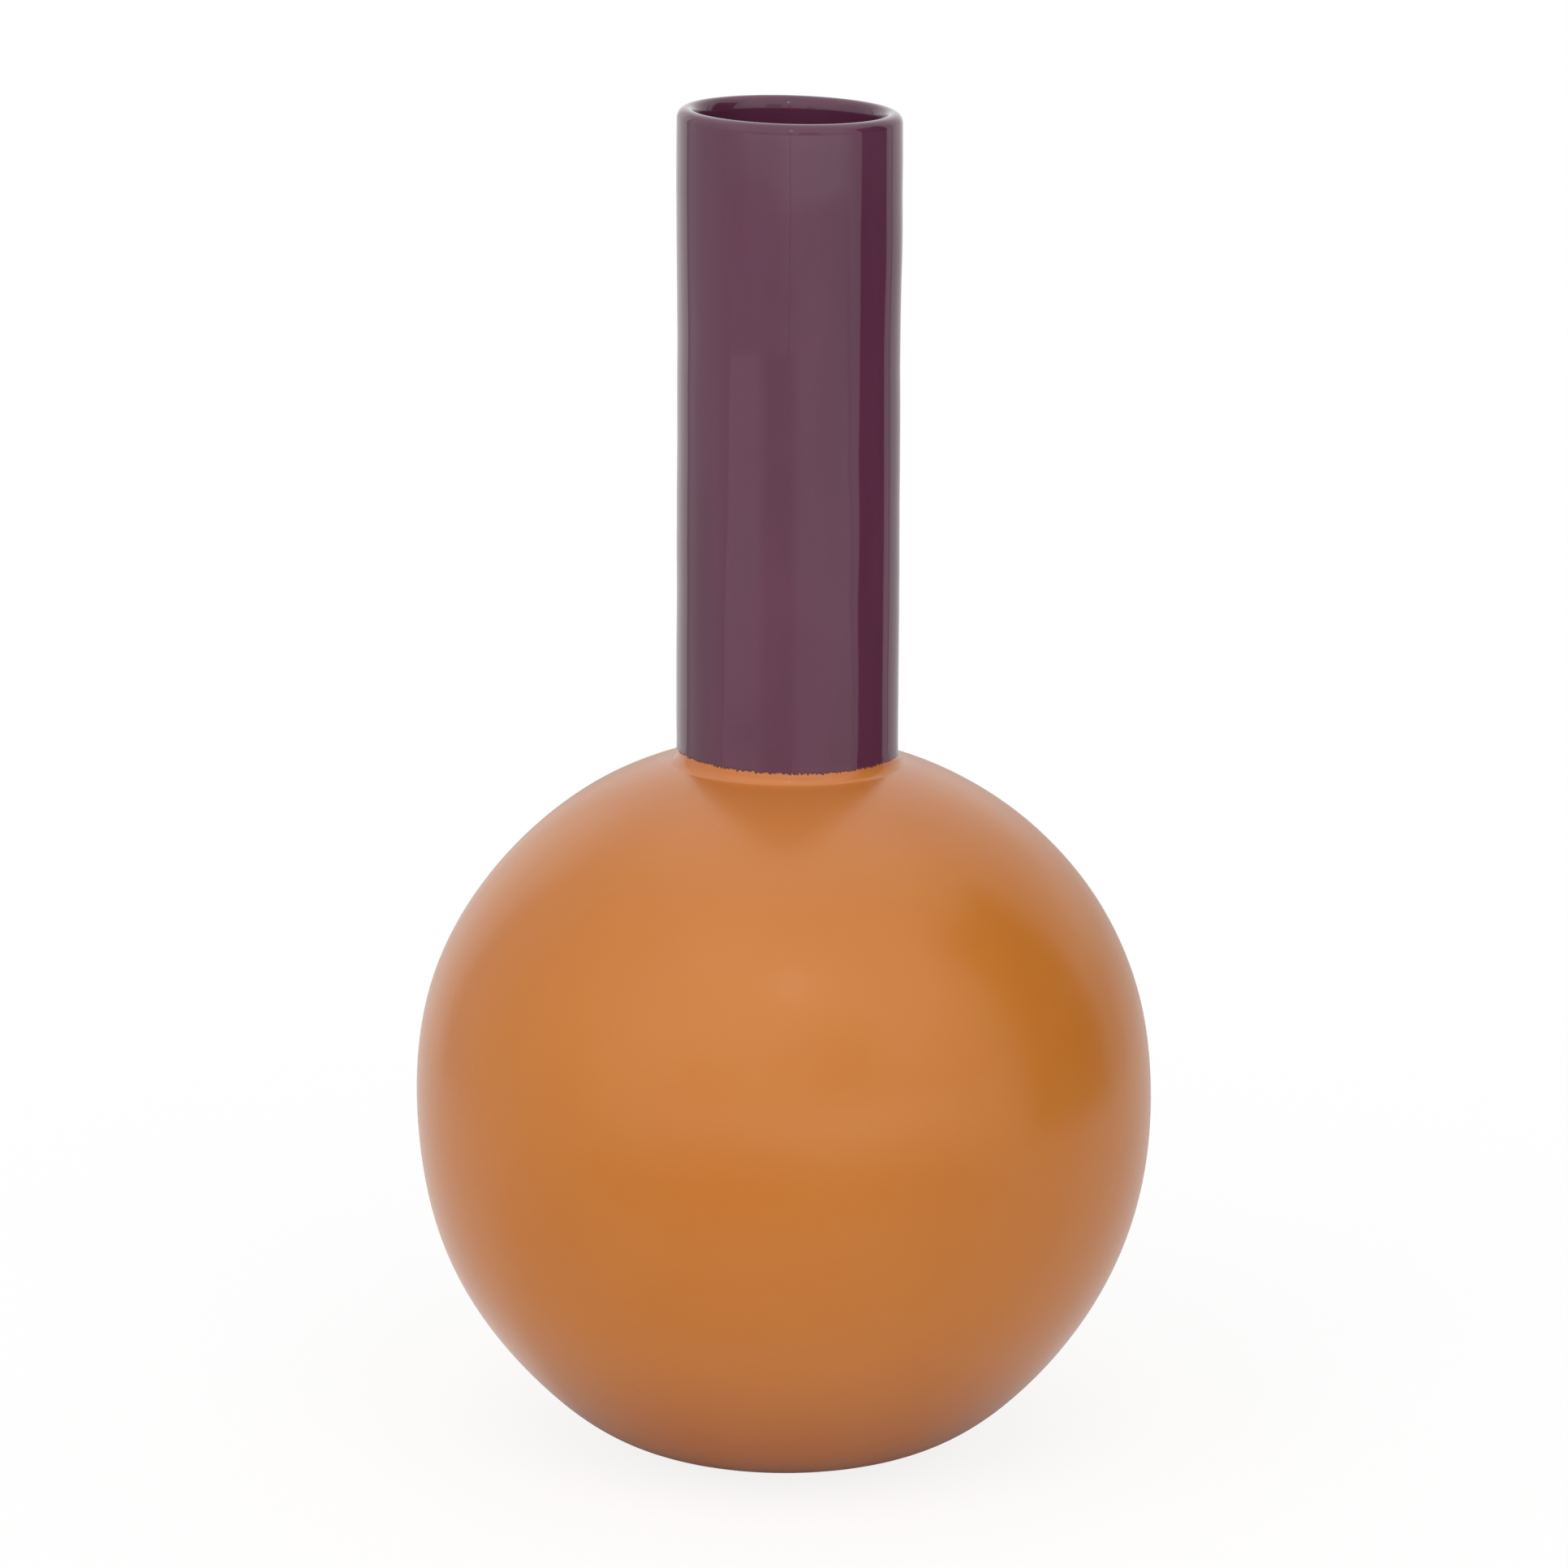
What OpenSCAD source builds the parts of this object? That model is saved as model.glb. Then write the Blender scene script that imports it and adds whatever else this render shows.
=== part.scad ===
// Two-tone stoneware vase: a glazed ball with a straight tube of a neck.
// The vase stands on its foot at z = 0, centred on the Z axis. Lengths are millimetres.
// Every piece is a profile turned round the axis. The coats of glaze are profiles parallel to the clay,
// so each one lies face to face on the clay that carries it.

/* [Whole vase] */
// Height from the foot to the top of the lip
vase_h = 275; // [210:1:340]

/* [Ball] */
// Widest diameter of the ball over its glaze
ball_d = 150; // [130:1:180]
// Distance past the axis at which the belly's long arc has its centre
belly_back = 7; // [3:0.1:15]
// Distance between the centres of the belly's arc and the tighter arc of the shoulder
shoulder_step = 12.2; // [8:0.1:20]
// Distance between the centres of the belly's arc and the tightest arc, above the foot
base_step = 34.2; // [20:0.1:42]
// Angle above the widest line at which the shoulder's arc takes over
shoulder_from = 13.1; // [5:0.1:30]
// Angle below the widest line at which the foot's arc takes over
base_from = 47.2; // [30:0.1:60]
// Thickness of the clay wall
ball_wall = 5; // [3:0.1:8]
// Thickness of the clay floor over the foot's recess
floor_t = 6; // [4:0.1:10]

/* [Foot] */
// Diameter of the ring that the vase stands on
foot_d = 44; // [36:0.5:60]
// Width of that ring
foot_w = 5; // [3:0.1:8]
// Depth of the recess inside the ring
recess_h = 2.5; // [1:0.1:4]
// Bevel on the ring's outer and inner edges
foot_bevel = 0.6; // [0.2:0.1:1]
// Width of the bare clay between the ring and the glaze
bare_w = 3; // [1:0.1:8]

/* [Neck] */
// Diameter of the neck over its glaze
neck_d = 44.7; // [36:0.1:60]
// Thickness of the neck's clay wall
neck_wall = 3; // [2:0.1:5]

/* [Joint] */
// Thickness of the slip between the neck and its seat
slip_t = 0.6; // [0.3:0.1:1.5]
// Radius of the wiped cove round the neck's foot, over its glaze
cove_r = 2; // [1:0.1:5]
// Depth of the flat seat below the cove's lower end
seat_drop = 0.35; // [0.1:0.05:1]

/* [Glaze] */
// Thickness of the satin coat on the ball
ball_glaze_t = 0.5; // [0.3:0.05:1]
// Thickness of the gloss coat on the neck
neck_glaze_t = 0.5; // [0.3:0.05:1]
// Thickness of the liner poured into the ball
liner_t = 0.5; // [0.3:0.05:1]
// Height of the line between the two coats above the top of the cove
line_up = 0.35; // [0.1:0.05:8]

/* [Hidden] */
$fn = 180;

// How far a cut runs past the face that it opens
overrun = 1;

// Radii of the neck: clay outside and inside, bore over the glaze
tube_r = neck_d / 2 - neck_glaze_t;
tube_bore_r = tube_r - neck_wall;
bore_r = tube_bore_r - neck_glaze_t;

// Height of the middle of the lip's half round
lip_z = vase_h - neck_wall / 2 - neck_glaze_t;

// Radii of the three tangent arcs of the ball's outline
belly_r = ball_d / 2 + belly_back;
shoulder_r = belly_r - shoulder_step;
base_r = belly_r - base_step;

// Centres of those arcs. The outline ends in a flat at z = 0.
belly_c = [-belly_back, base_r + base_step * sin(base_from)];
shoulder_c = belly_c + shoulder_step * [cos(shoulder_from), sin(shoulder_from)];
base_c = belly_c + base_step * [cos(base_from), -sin(base_from)];

// Depths of the layers below the outline: the clay's face, its inner face, and the liner's face
clay_in = ball_glaze_t;
hollow_in = ball_glaze_t + ball_wall;
liner_in = hollow_in + liner_t;

// The cove is an arc that touches the tube and the shoulder's arc.
// Both of its faces, clay and glaze, have the same centre.
clay_cove_r = cove_r + ball_glaze_t;
cove_x = tube_r + clay_cove_r;
hub_x = min(shoulder_c.x, cove_x);
hub_to_cove = shoulder_r + cove_r;
cove_z = shoulder_c.y + sqrt(pow(hub_to_cove, 2) - pow(cove_x - hub_x, 2));
line_z = cove_z + line_up;

// Where the line from the shoulder's centre to the cove's centre crosses the outline at this inset
function cove_end(inset) =
    let (reach = (shoulder_r - inset) / hub_to_cove)
    [hub_x + (cove_x - hub_x) * reach, shoulder_c.y + (cove_z - shoulder_c.y) * reach];

// The seat of the neck, and the foot of the tube on its bed of slip
seat_z = cove_end(clay_in).y - seat_drop;
tube_z = seat_z + slip_t;

// The floor inside, and the places on the foot
floor_z = recess_h + floor_t;
mid_floor_z = recess_h + floor_t / 2;
foot_r = foot_d / 2;
foot_in_r = foot_r - foot_w;
bare_r = foot_r + bare_w;

// Right half of the ball's section, drawn this far inside its glazed outline
module ball_section(inset) {
    reach = 2 * belly_r;
    intersection() {
        translate([0, -overrun])
            square([ball_d, shoulder_c.y + shoulder_r + 2 * overrun]);
        union() {
            translate(shoulder_c)
                circle(r = shoulder_r - inset);
            translate(base_c)
                circle(r = base_r - inset);
            intersection() {
                translate(belly_c)
                    circle(r = belly_r - inset);
                polygon([
                    belly_c,
                    belly_c + reach * [cos(base_from), -sin(base_from)],
                    belly_c + reach * [cos(shoulder_from), sin(shoulder_from)]
                ]);
            }
            translate([-belly_r, base_c.y])
                square([belly_r + shoulder_c.x, shoulder_c.y + shoulder_r - inset - base_c.y]);
            translate([-belly_r, inset])
                square([belly_r + base_c.x, shoulder_c.y - inset]);
        }
    }
}

// The ball's section with the neck's foot on it, up to z = top, and a cove of radius r between them.
// The cove's face runs from the outline at this inset to the side of the foot.
module joined_section(inset, r, top) {
    deep = cove_end(inset + clay_cove_r);
    difference() {
        union() {
            ball_section(inset);
            polygon([
                [0, deep.y],
                deep,
                [cove_x, cove_z],
                [cove_x, top],
                [0, top]
            ]);
        }
        translate([cove_x, cove_z])
            circle(r = r);
        translate([cove_x - r, cove_z])
            square([neck_d, vase_h]);
    }
}

// Section of a straight wall with a half-round top, from z = low up to the lip
module lip_wall_section(inner, outer, low) {
    translate([inner, low])
        square([outer - inner, lip_z - low]);
    translate([(inner + outer) / 2, lip_z])
        circle(r = (outer - inner) / 2);
}

// Section of the space inside the ball and its mouth, this far inside the outline
module hollow_section(inset, mouth_r, low) {
    intersection() {
        ball_section(inset);
        translate([0, low])
            square([ball_d, vase_h]);
    }
    translate([0, low])
        square([mouth_r, tube_z - low]);
}

// Stoneware shell with a flat seat on top and a turned foot ring below
module ball_body() {
    color("#c9b79c")
        rotate_extrude()
            difference() {
                union() {
                    intersection() {
                        ball_section(clay_in);
                        square([ball_d, seat_z]);
                    }
                    polygon([
                        [foot_in_r + foot_bevel, 0],
                        [foot_r - foot_bevel, 0],
                        [foot_r, foot_bevel],
                        [foot_r, mid_floor_z],
                        [foot_in_r, mid_floor_z],
                        [foot_in_r, foot_bevel]
                    ]);
                }
                hollow_section(hollow_in, tube_bore_r, floor_z);
                translate([0, -overrun])
                    square([foot_in_r, recess_h + overrun]);
            }
}

// Stoneware tube, open at both ends, with a half-round lip
module neck_tube() {
    color("#c9b79c")
        rotate_extrude()
            lip_wall_section(tube_bore_r, tube_r, tube_z);
}

// Slip under the tube's foot, wiped into a cove outside it
module joining_slip() {
    color("#bfa98a")
        rotate_extrude()
            difference() {
                joined_section(clay_in, clay_cove_r, line_z);
                square([ball_d, seat_z]);
                square([tube_bore_r, vase_h]);
                translate([0, tube_z])
                    square([tube_r, vase_h]);
            }
}

// Satin coat outside the ball and over the cove, up to the line between the coats
module ball_glaze() {
    color("#cc8042")
        rotate_extrude()
            difference() {
                joined_section(0, cove_r, line_z);
                joined_section(clay_in, clay_cove_r, line_z + overrun);
                translate([0, seat_z])
                    square([tube_r, vase_h]);
                square([bare_r, base_c.y]);
            }
}

// Gloss coat outside the neck, over the lip and down the bore to the tube's foot
module neck_glaze() {
    color("#5c3048")
        rotate_extrude()
            difference() {
                lip_wall_section(bore_r, neck_d / 2, tube_z);
                lip_wall_section(tube_bore_r, tube_r, tube_z - overrun);
                translate([tube_r, tube_z - overrun])
                    square([neck_d, line_z - tube_z + overrun]);
            }
}

// Glaze poured round inside the ball, up through its mouth to the neck's coat
module liner_glaze() {
    color("#5c3048")
        rotate_extrude()
            difference() {
                hollow_section(hollow_in, tube_bore_r, floor_z);
                hollow_section(liner_in, bore_r, floor_z + liner_t);
            }
}

ball_body();
neck_tube();
joining_slip();
ball_glaze();
neck_glaze();
liner_glaze();
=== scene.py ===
"""Looks of a two-tone stoneware vase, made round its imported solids.

A thrown ball in a satin orange glaze carries a straight thrown neck in a gloss aubergine glaze.
Every piece is a section turned round the Z axis. All lengths are in metres, in the frame of the
solids.
"""

import math

import bpy
import numpy as np
from bpy.props import FloatProperty, FloatVectorProperty, PointerProperty
from mathutils import Matrix, Vector


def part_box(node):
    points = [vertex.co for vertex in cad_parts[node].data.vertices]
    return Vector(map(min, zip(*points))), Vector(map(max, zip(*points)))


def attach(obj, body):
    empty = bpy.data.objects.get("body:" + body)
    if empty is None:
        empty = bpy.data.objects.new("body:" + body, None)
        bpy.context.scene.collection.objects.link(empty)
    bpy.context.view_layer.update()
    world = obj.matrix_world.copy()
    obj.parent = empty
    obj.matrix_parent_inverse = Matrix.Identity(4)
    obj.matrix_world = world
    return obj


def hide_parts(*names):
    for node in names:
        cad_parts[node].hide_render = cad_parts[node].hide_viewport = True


bl_info = {
    "name": "Two-tone vase",
    "version": (1, 0, 0),
    "blender": (4, 5, 0),
    "location": "View3D > Sidebar > Vase",
    "description": "Makes a glazed ball vase with a tall neck, piece by piece, and its stage",
    "category": "Add Mesh",
}

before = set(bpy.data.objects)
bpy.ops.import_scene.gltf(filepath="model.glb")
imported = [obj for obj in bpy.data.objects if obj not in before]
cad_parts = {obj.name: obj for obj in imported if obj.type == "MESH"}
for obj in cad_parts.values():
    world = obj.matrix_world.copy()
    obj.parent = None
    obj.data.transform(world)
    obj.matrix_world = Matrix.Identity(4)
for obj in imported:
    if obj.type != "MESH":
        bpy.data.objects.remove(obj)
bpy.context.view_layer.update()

MM = 0.001
BALL_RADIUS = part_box("ball_glaze")[1][0]
NECK_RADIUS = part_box("neck_glaze")[1][0]
RIM_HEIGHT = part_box("neck_glaze")[1][2]
BORE_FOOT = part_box("neck_tube")[0][2]
SEAT_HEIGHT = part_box("joining_slip")[0][2]


def hex_colour(text):
    """Linear red, green and blue of an sRGB colour written as #RRGGBB."""
    shares = [int(text[i : i + 2], 16) / 255 for i in (1, 3, 5)]
    return tuple(s / 12.92 if s <= 0.04045 else ((s + 0.055) / 1.055) ** 2.4 for s in shares)


def length(name, default, description):
    """A length that a user can change, shown in the scene's units."""
    return FloatProperty(
        name=name, default=default, description=description, unit="LENGTH", precision=5
    )


def turn(name, degrees, description):
    """An angle that a user can change."""
    return FloatProperty(
        name=name, default=math.radians(degrees), description=description, unit="ROTATION"
    )


def colour(name, text, description):
    """A colour that a user can change."""
    kind = {"subtype": "COLOR", "size": 3, "min": 0.0, "max": 1.0}
    return FloatVectorProperty(
        name=name, default=hex_colour(text), description=description, **kind
    )


def share(name, default, description):
    """A plain number that a user can change."""
    return FloatProperty(name=name, default=default, description=description, min=0.0)


class VaseShape(bpy.types.PropertyGroup):
    """Sizes of the vase's pieces"""

    ball_radius: length("Ball radius", BALL_RADIUS, "Widest radius of the ball over its glaze")
    belly_back: length("Belly centre", 7 * MM, "How far past the axis the belly's arc is centred")
    shoulder_step: length("Shoulder step", 12.2 * MM, "How much tighter the shoulder's arc is")
    base_step: length("Base step", 34.2 * MM, "How much tighter the arc above the foot is")
    shoulder_from: turn("Shoulder from", 13.1, "Angle above the widest line where it starts")
    base_from: turn("Base from", 47.2, "Angle below the widest line where the base starts")
    wall: length("Ball wall", 5 * MM, "Thickness of the ball's clay")
    coat: length("Coat", 0.5 * MM, "Thickness of each coat of glaze")
    floor_low: length("Floor underside", 2.5 * MM, "Height of the floor's underside over the foot")
    floor_high: length("Floor", 8.5 * MM, "Height of the clay floor inside")
    foot_radius: length("Foot radius", 22 * MM, "Outer radius of the ring that it stands on")
    foot_width: length("Foot width", 5 * MM, "Width of that ring")
    foot_round: length("Foot edge", 0.6 * MM, "How far the ring's edges are worn round")
    bare_radius: length("Bare radius", 25 * MM, "Radius below which the clay was wiped bare")
    neck_radius: length("Neck radius", NECK_RADIUS, "Radius of the neck over its glaze")
    neck_wall: length("Neck wall", 3 * MM, "Thickness of the neck's clay")
    lip_drop: length("Lip, inside", 0.7 * MM, "How much taller the lip is inside than outside")
    cove: length("Cove", 2 * MM, "Radius of the wiped cove round the neck's foot")
    line_up: length("Glaze line", 0.6 * MM, "Height of the line between the glazes over the cove")


class VaseMaking(bpy.types.PropertyGroup):
    """Marks of making by hand, which a perfect turned shape would lack"""

    seat_tilt: length("Seat tilt", 0.2 * MM, "How much the neck's seat drops to the right")
    line_tilt: length("Line tilt", 0.34 * MM, "How much more the line between the glazes drops")
    rim_tilt: length("Rim tilt", 0.29 * MM, "How much more the rim drops")
    neck_shift: length("Neck shift", 0.37 * MM, "How far right of the ball's middle the neck is")
    neck_flare: length("Neck flare", 0.12 * MM, "How much wider the neck is near its rim")
    neck_waist: length("Neck waist", 0.11 * MM, "How much slimmer it is below that")
    lip_in: length("Lip in", 0.05 * MM, "How far the neck's outside rounds in towards the lip")
    neck_wave: length("Neck wave", 0.032 * MM, "Size of the unevenness of the neck's glaze")
    ball_wave: length("Ball wave", 0.015 * MM, "Size of the unevenness of the ball's glaze")
    ring_pitch: length("Ring pitch", 7 * MM, "Rise of the thrower's spiral in one turn")
    ring_depth: length("Ring depth", 0.12 * MM, "Depth of that spiral inside the ball")


class VaseColours(bpy.types.PropertyGroup):
    """Colours of the clay and the glazes"""

    orange: colour("Orange", "#C97520", "Satin glaze of the ball")
    orange_light: colour("Orange, thick", "#CA7824", "The same glaze where it lies thicker")
    # Darker, browner orange mixed in low on the ball: painted shade for the light that the floor
    # and the ball cut off there
    orange_shaded_low: colour("Orange, low", "#B9671E", "The same glaze low on the ball")
    orange_thin: colour("Orange, thin", "#CC7B39", "The same glaze, wiped thin round the neck")
    iron: colour("Iron", "#4A2A1C", "Iron specks in that glaze")
    aubergine: colour("Aubergine", "#613049", "Gloss glaze of the neck")
    aubergine_deep: colour("Aubergine, thick", "#5B2C44", "The same glaze where it lies thicker")
    clay: colour("Clay", "#C9B79C", "Fired stoneware")
    clay_speck: colour("Clay specks", "#8A7152", "Grit in the stoneware")
    slip: colour("Slip", "#BFA98A", "Fired slip between the neck and the ball")


class VaseStage(bpy.types.PropertyGroup):
    """Camera, floor and light"""

    distance: length("Distance", 1475 * MM, "From the camera to the point it looks at")
    aim_height: length("Aim height", 138 * MM, "Height of that point")
    aim_side: length("Aim side", -0.272 * MM, "How far right of the axis that point is")
    pitch: turn("Pitch", 13.29, "How far down the camera looks")
    roll: turn("Roll", 0.2275, "How far the camera is turned about its own line of sight")
    lens: share("Lens", 167.7, "Focal length in millimetres on a 36 mm sensor")
    sky: share("Sky", 0.55, "Strength of the light from all round")
    front: share("Front light", 0.5, "What the front lamp adds to a surface that faces it")
    front_high: turn("Front light, height", 28.0, "How steeply the front lamp shines down")
    front_side: turn("Front light, side", 8.0, "How far left of the camera it is")
    front_soft: turn("Front light, width", 100.0, "How wide it is, seen from the vase")
    floor: colour("Floor", "#E9E9E9", "Colour that the floor throws back on the vase")
    floor_glow: share("Floor glow", 0.85, "Share of the floor's white that its shadow leaves alone")
    floor_lit: share("Floor lit", 1.25, "Lift of the floor's other share, so that it is white too")
    floor_half: length("Floor half", 6.0, "Half the width of the floor")
    screen_near: length("Screens, beside", 0.55, "Distance of the screens beside the vase")
    screen_far: length("Screens, front", 1.3, "Distance of the screens in front of it")
    screen_height: length("Screen height", 2.0, "Height of the screens and of their ceiling")


# Turned shapes


def outline(shape, inset, normals):
    """Radius and height on the ball's outline, this far inside it, for each angle of its normal.

    Three tangent arcs make the outline, and each holds a range of angles above the horizontal. A
    point is its arc's centre plus the arc's radius less the inset, times the cosine and sine of the
    angle. The tighter arcs have their centres a step from the belly's, along the normal where they
    take over.
    """
    low, high = normals < -shape.base_from, normals > shape.shoulder_from
    step = np.select([low, high], [shape.base_step, shape.shoulder_step], 0.0)
    side = np.select([low, high], [-shape.base_from, shape.shoulder_from], 0.0)
    belly = shape.ball_radius + shape.belly_back
    middle = belly - shape.base_step + shape.base_step * math.sin(shape.base_from)
    reach = belly - step - inset
    radius = -shape.belly_back + step * np.cos(side) + reach * np.cos(normals)
    height = middle + step * np.sin(side) + reach * np.sin(normals)
    return np.stack([radius, height], axis=-1)


def arc_middle(shape, top):
    """Radius and height of the centre of the shoulder's arc or the base's, and the arc's radius."""
    normal = np.array(math.pi / 2 if top else -math.pi / 2)
    radius, height = outline(shape, 0.0, normal)
    step = shape.shoulder_step if top else shape.base_step
    size = shape.ball_radius + shape.belly_back - step
    return radius, height - size if top else height + size, size


def normal_at(shape, inset, top, radius=None, height=None):
    """Angle of the normal where the shoulder's arc, or the base's, reaches a radius or a height.

    It is the arccosine of the radius past the arc's centre, or the arcsine of the height past it,
    each over the arc's radius less the inset. From a radius, it is negative on the base's arc.
    """
    middle_r, middle_z, size = arc_middle(shape, top)
    if radius is not None:
        return (1 if top else -1) * np.arccos((radius - middle_r) / (size - inset))
    return np.arcsin((height - middle_z) / (size - inset))


def cove_middle(shape):
    """Radius and height of the cove's centre, and the angle of the normal where it meets the ball.

    The cove's arc touches the neck's side, and its centre lies the shoulder's radius plus the
    cove's from the shoulder's centre.
    """
    middle_r, middle_z, size = arc_middle(shape, True)
    radius = shape.neck_radius + shape.cove
    height = middle_z + math.sqrt((size + shape.cove) ** 2 - (radius - middle_r) ** 2)
    return radius, height, math.atan2(height - middle_z, radius - middle_r)


def neck_radii(shape):
    """Radii of the neck under its glaze: its clay outside and inside, and its glazed bore."""
    tube = shape.neck_radius - shape.coat
    clay_bore = tube - shape.neck_wall
    return tube, clay_bore, clay_bore - shape.coat


def arc(middle, radius, start, end, count):
    """Points on a circle: its centre plus its radius times the cosine and sine of even angles."""
    angles = np.linspace(start, end, count)
    x, y = middle[0] + radius * np.cos(angles), middle[1] + radius * np.sin(angles)
    return np.stack([x, y], axis=-1)


def straight(start, end, count):
    """Evenly spaced points from one point to another."""
    return np.linspace(np.asarray(start, float), np.asarray(end, float), count)


def chain(*runs):
    """Runs of points one after the other, without a point that repeats the one before it."""
    same = 1e-7
    points = np.concatenate([np.atleast_2d(run) for run in runs])
    steps = np.linalg.norm(np.diff(points, axis=0), axis=1)
    return points[np.concatenate([[True], steps > same])]


def around(columns):
    """Even angles round the axis. Angle 0 faces the camera and a quarter turn is to the right."""
    return np.linspace(0.0, 2 * math.pi, columns, endpoint=False)


def spread(section, columns):
    """One section repeated for each column, as rows by columns by radius and height."""
    return np.repeat(section[:, None, :], columns, axis=1)


def waves(angles, rng, fewest, most, size):
    """An uneven closed line round the axis: cosines of few to many waves a turn, in random phases.

    Their heights fall with the square root of their number, and together they have this size.
    """
    counts = np.arange(fewest, most + 1)
    heights = rng.normal(size=counts.size) * np.sqrt(fewest / counts)
    heights *= size * math.sqrt(2) / np.linalg.norm(heights)
    phases = rng.uniform(0, 2 * math.pi, counts.size)
    return np.sum(heights[:, None] * np.cos(counts[:, None] * angles + phases[:, None]), axis=0)


def uneven(angles, heights, rng, size, longest, shortest):
    """An uneven skin: 14 products of waves round the axis and up it, with random phases.

    There are one to five waves round the axis. The lengths of those up it run from longest to
    shortest, and a shorter wave is lower, with the square root of its length.
    """
    skin = np.zeros(np.broadcast_shapes(angles.shape, heights.shape))
    lengths = np.geomspace(longest, shortest, 14)
    for length_up in lengths:
        turns = rng.integers(1, 6)
        phase, lift = rng.uniform(0, 2 * math.pi, 2)
        tall = math.sqrt(length_up / longest)
        up = np.cos(2 * math.pi * heights / length_up + lift)
        skin += tall * np.cos(turns * angles + phase) * up
    return size * skin / math.sqrt(lengths.size / 4)


def eased(values, low, high):
    """0 below low and 1 above high, and between them a smooth step: 3 squares less 2 cubes."""
    part = np.clip((values - low) / (high - low), 0.0, 1.0)
    return part * part * (3 - 2 * part)


# Marks of making by hand

# Heights between which the ball takes on the neck's shift to the right, and its tilt
SHIFTS_OVER = (SEAT_HEIGHT - 7 * MM, SEAT_HEIGHT + MM)
TILTS_OVER = (SEAT_HEIGHT - 15 * MM, SEAT_HEIGHT)

# Places where the thrown ball is a little flat or full: degrees right of the camera, and the
# height, the reach up and down and the size in millimetres
BALL_PLACES = (
    (-90, 127, 15, -0.55),
    (-90, 94, 15, 0.29),
    (-90, 68, 15, -0.26),
    (-90, 39, 15, 0.33),
    (-90, 11, 15, -0.5),
    (-62, 2, 6, 0.6),
    (62, 2, 6, 0.7),
    (90, 130, 15, -0.4),
    (90, 74, 15, -0.27),
    (90, 40, 15, 0.2),
)
# Radii between which those places come in, so that the foot and the cove stay round
PLACES_OVER = (24 * MM, 31 * MM)

# Heights between which the neck's unevenness comes in over its foot, and its flare below its rim
NECK_WAVES_OVER = (BORE_FOOT, BORE_FOOT + 6 * MM)
FLARES_OVER = (RIM_HEIGHT - 45 * MM, RIM_HEIGHT - 20 * MM)
# Height of the waist below the flare and its reach, and the same of the lip's rounding in
WAIST_HEIGHT, WAIST_REACH = RIM_HEIGHT - 52 * MM, 25 * MM
LIP_IN_HEIGHT, LIP_IN_REACH = RIM_HEIGHT - 10 * MM, 8 * MM


def turned(sections, angles, making=None):
    """Turns sections round the Z axis: x is radius times sine, y is minus radius times cosine.

    With the marks of making, the neck and the seat under it stand a little to the right, and drop a
    little to the right: the height falls with the sine of the angle.
    """
    radius, height = sections[..., 0], sections[..., 1]
    x, y = radius * np.sin(angles), -radius * np.cos(angles)
    if making is None:
        return np.stack([x, y, height], axis=-1)
    x = x + making.neck_shift * eased(height, *SHIFTS_OVER)
    drop = making.seat_tilt * eased(height, *TILTS_OVER) * np.sin(angles)
    return np.stack([x, y, height - drop], axis=-1)


def thrown_ball(sections, angles, making):
    """Turns the ball's sections with its flat and full places.

    A place changes the radius by its size, times a bell curve of the height over its reach, times
    the squared cosine of the angle from its middle. Near the foot and the neck, the change fades.
    """
    radius, height = sections[..., 0], sections[..., 1]
    change = np.zeros_like(radius)
    for middle, level, reach, size in BALL_PLACES:
        facing = np.clip(np.cos(angles - math.radians(middle)), 0.0, 1.0) ** 2
        change += size * MM * facing * np.exp(-(((height / MM - level) / reach) ** 2))
    change *= eased(radius, *PLACES_OVER)
    return turned(np.stack([radius + change, height], axis=-1), angles, making)


def thrown_neck(sections, angles, shape, making):
    """Turns the neck's sections with the marks of making.

    Its radius is uneven, grows a little near the rim, over a slight waist that is a bell curve of
    the height, and its outside rounds in with the square of the height over the last centimetre. It
    is sheared so that its rim drops to the right.
    """
    radius, height = sections[..., 0], sections[..., 1]
    flare = making.neck_flare * eased(height, *FLARES_OVER)
    flare -= making.neck_waist * np.exp(-(((height - WAIST_HEIGHT) / WAIST_REACH) ** 2))
    rng = np.random.default_rng(7)
    skin = uneven(angles[None], height, rng, making.neck_wave, longest=60 * MM, shortest=9 * MM)
    thick = 2 * shape.coat + shape.neck_wall
    outside = np.clip((radius - shape.neck_radius + thick) / thick, 0.0, 1.0)
    last = np.clip((height - LIP_IN_HEIGHT) / LIP_IN_REACH, 0.0, None)
    radius = radius + eased(height, *NECK_WAVES_OVER) * (flare + skin)
    radius = radius - making.lip_in * outside * last**2
    points = turned(np.stack([radius, height], axis=-1), angles, making)
    up = np.clip((height - BORE_FOOT) / (RIM_HEIGHT - BORE_FOOT), 0.0, 1.0)
    points[..., 2] -= making.rim_tilt * up * np.sin(angles)
    return points


# Meshes

# Columns of most pieces, and of the two coats, whose lower edges need more
COLUMNS = 256
BALL_COLUMNS = 640
NECK_COLUMNS = 940

# An edge between faces that turn by more than this is shaded sharp
SHARP = math.radians(40)


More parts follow.
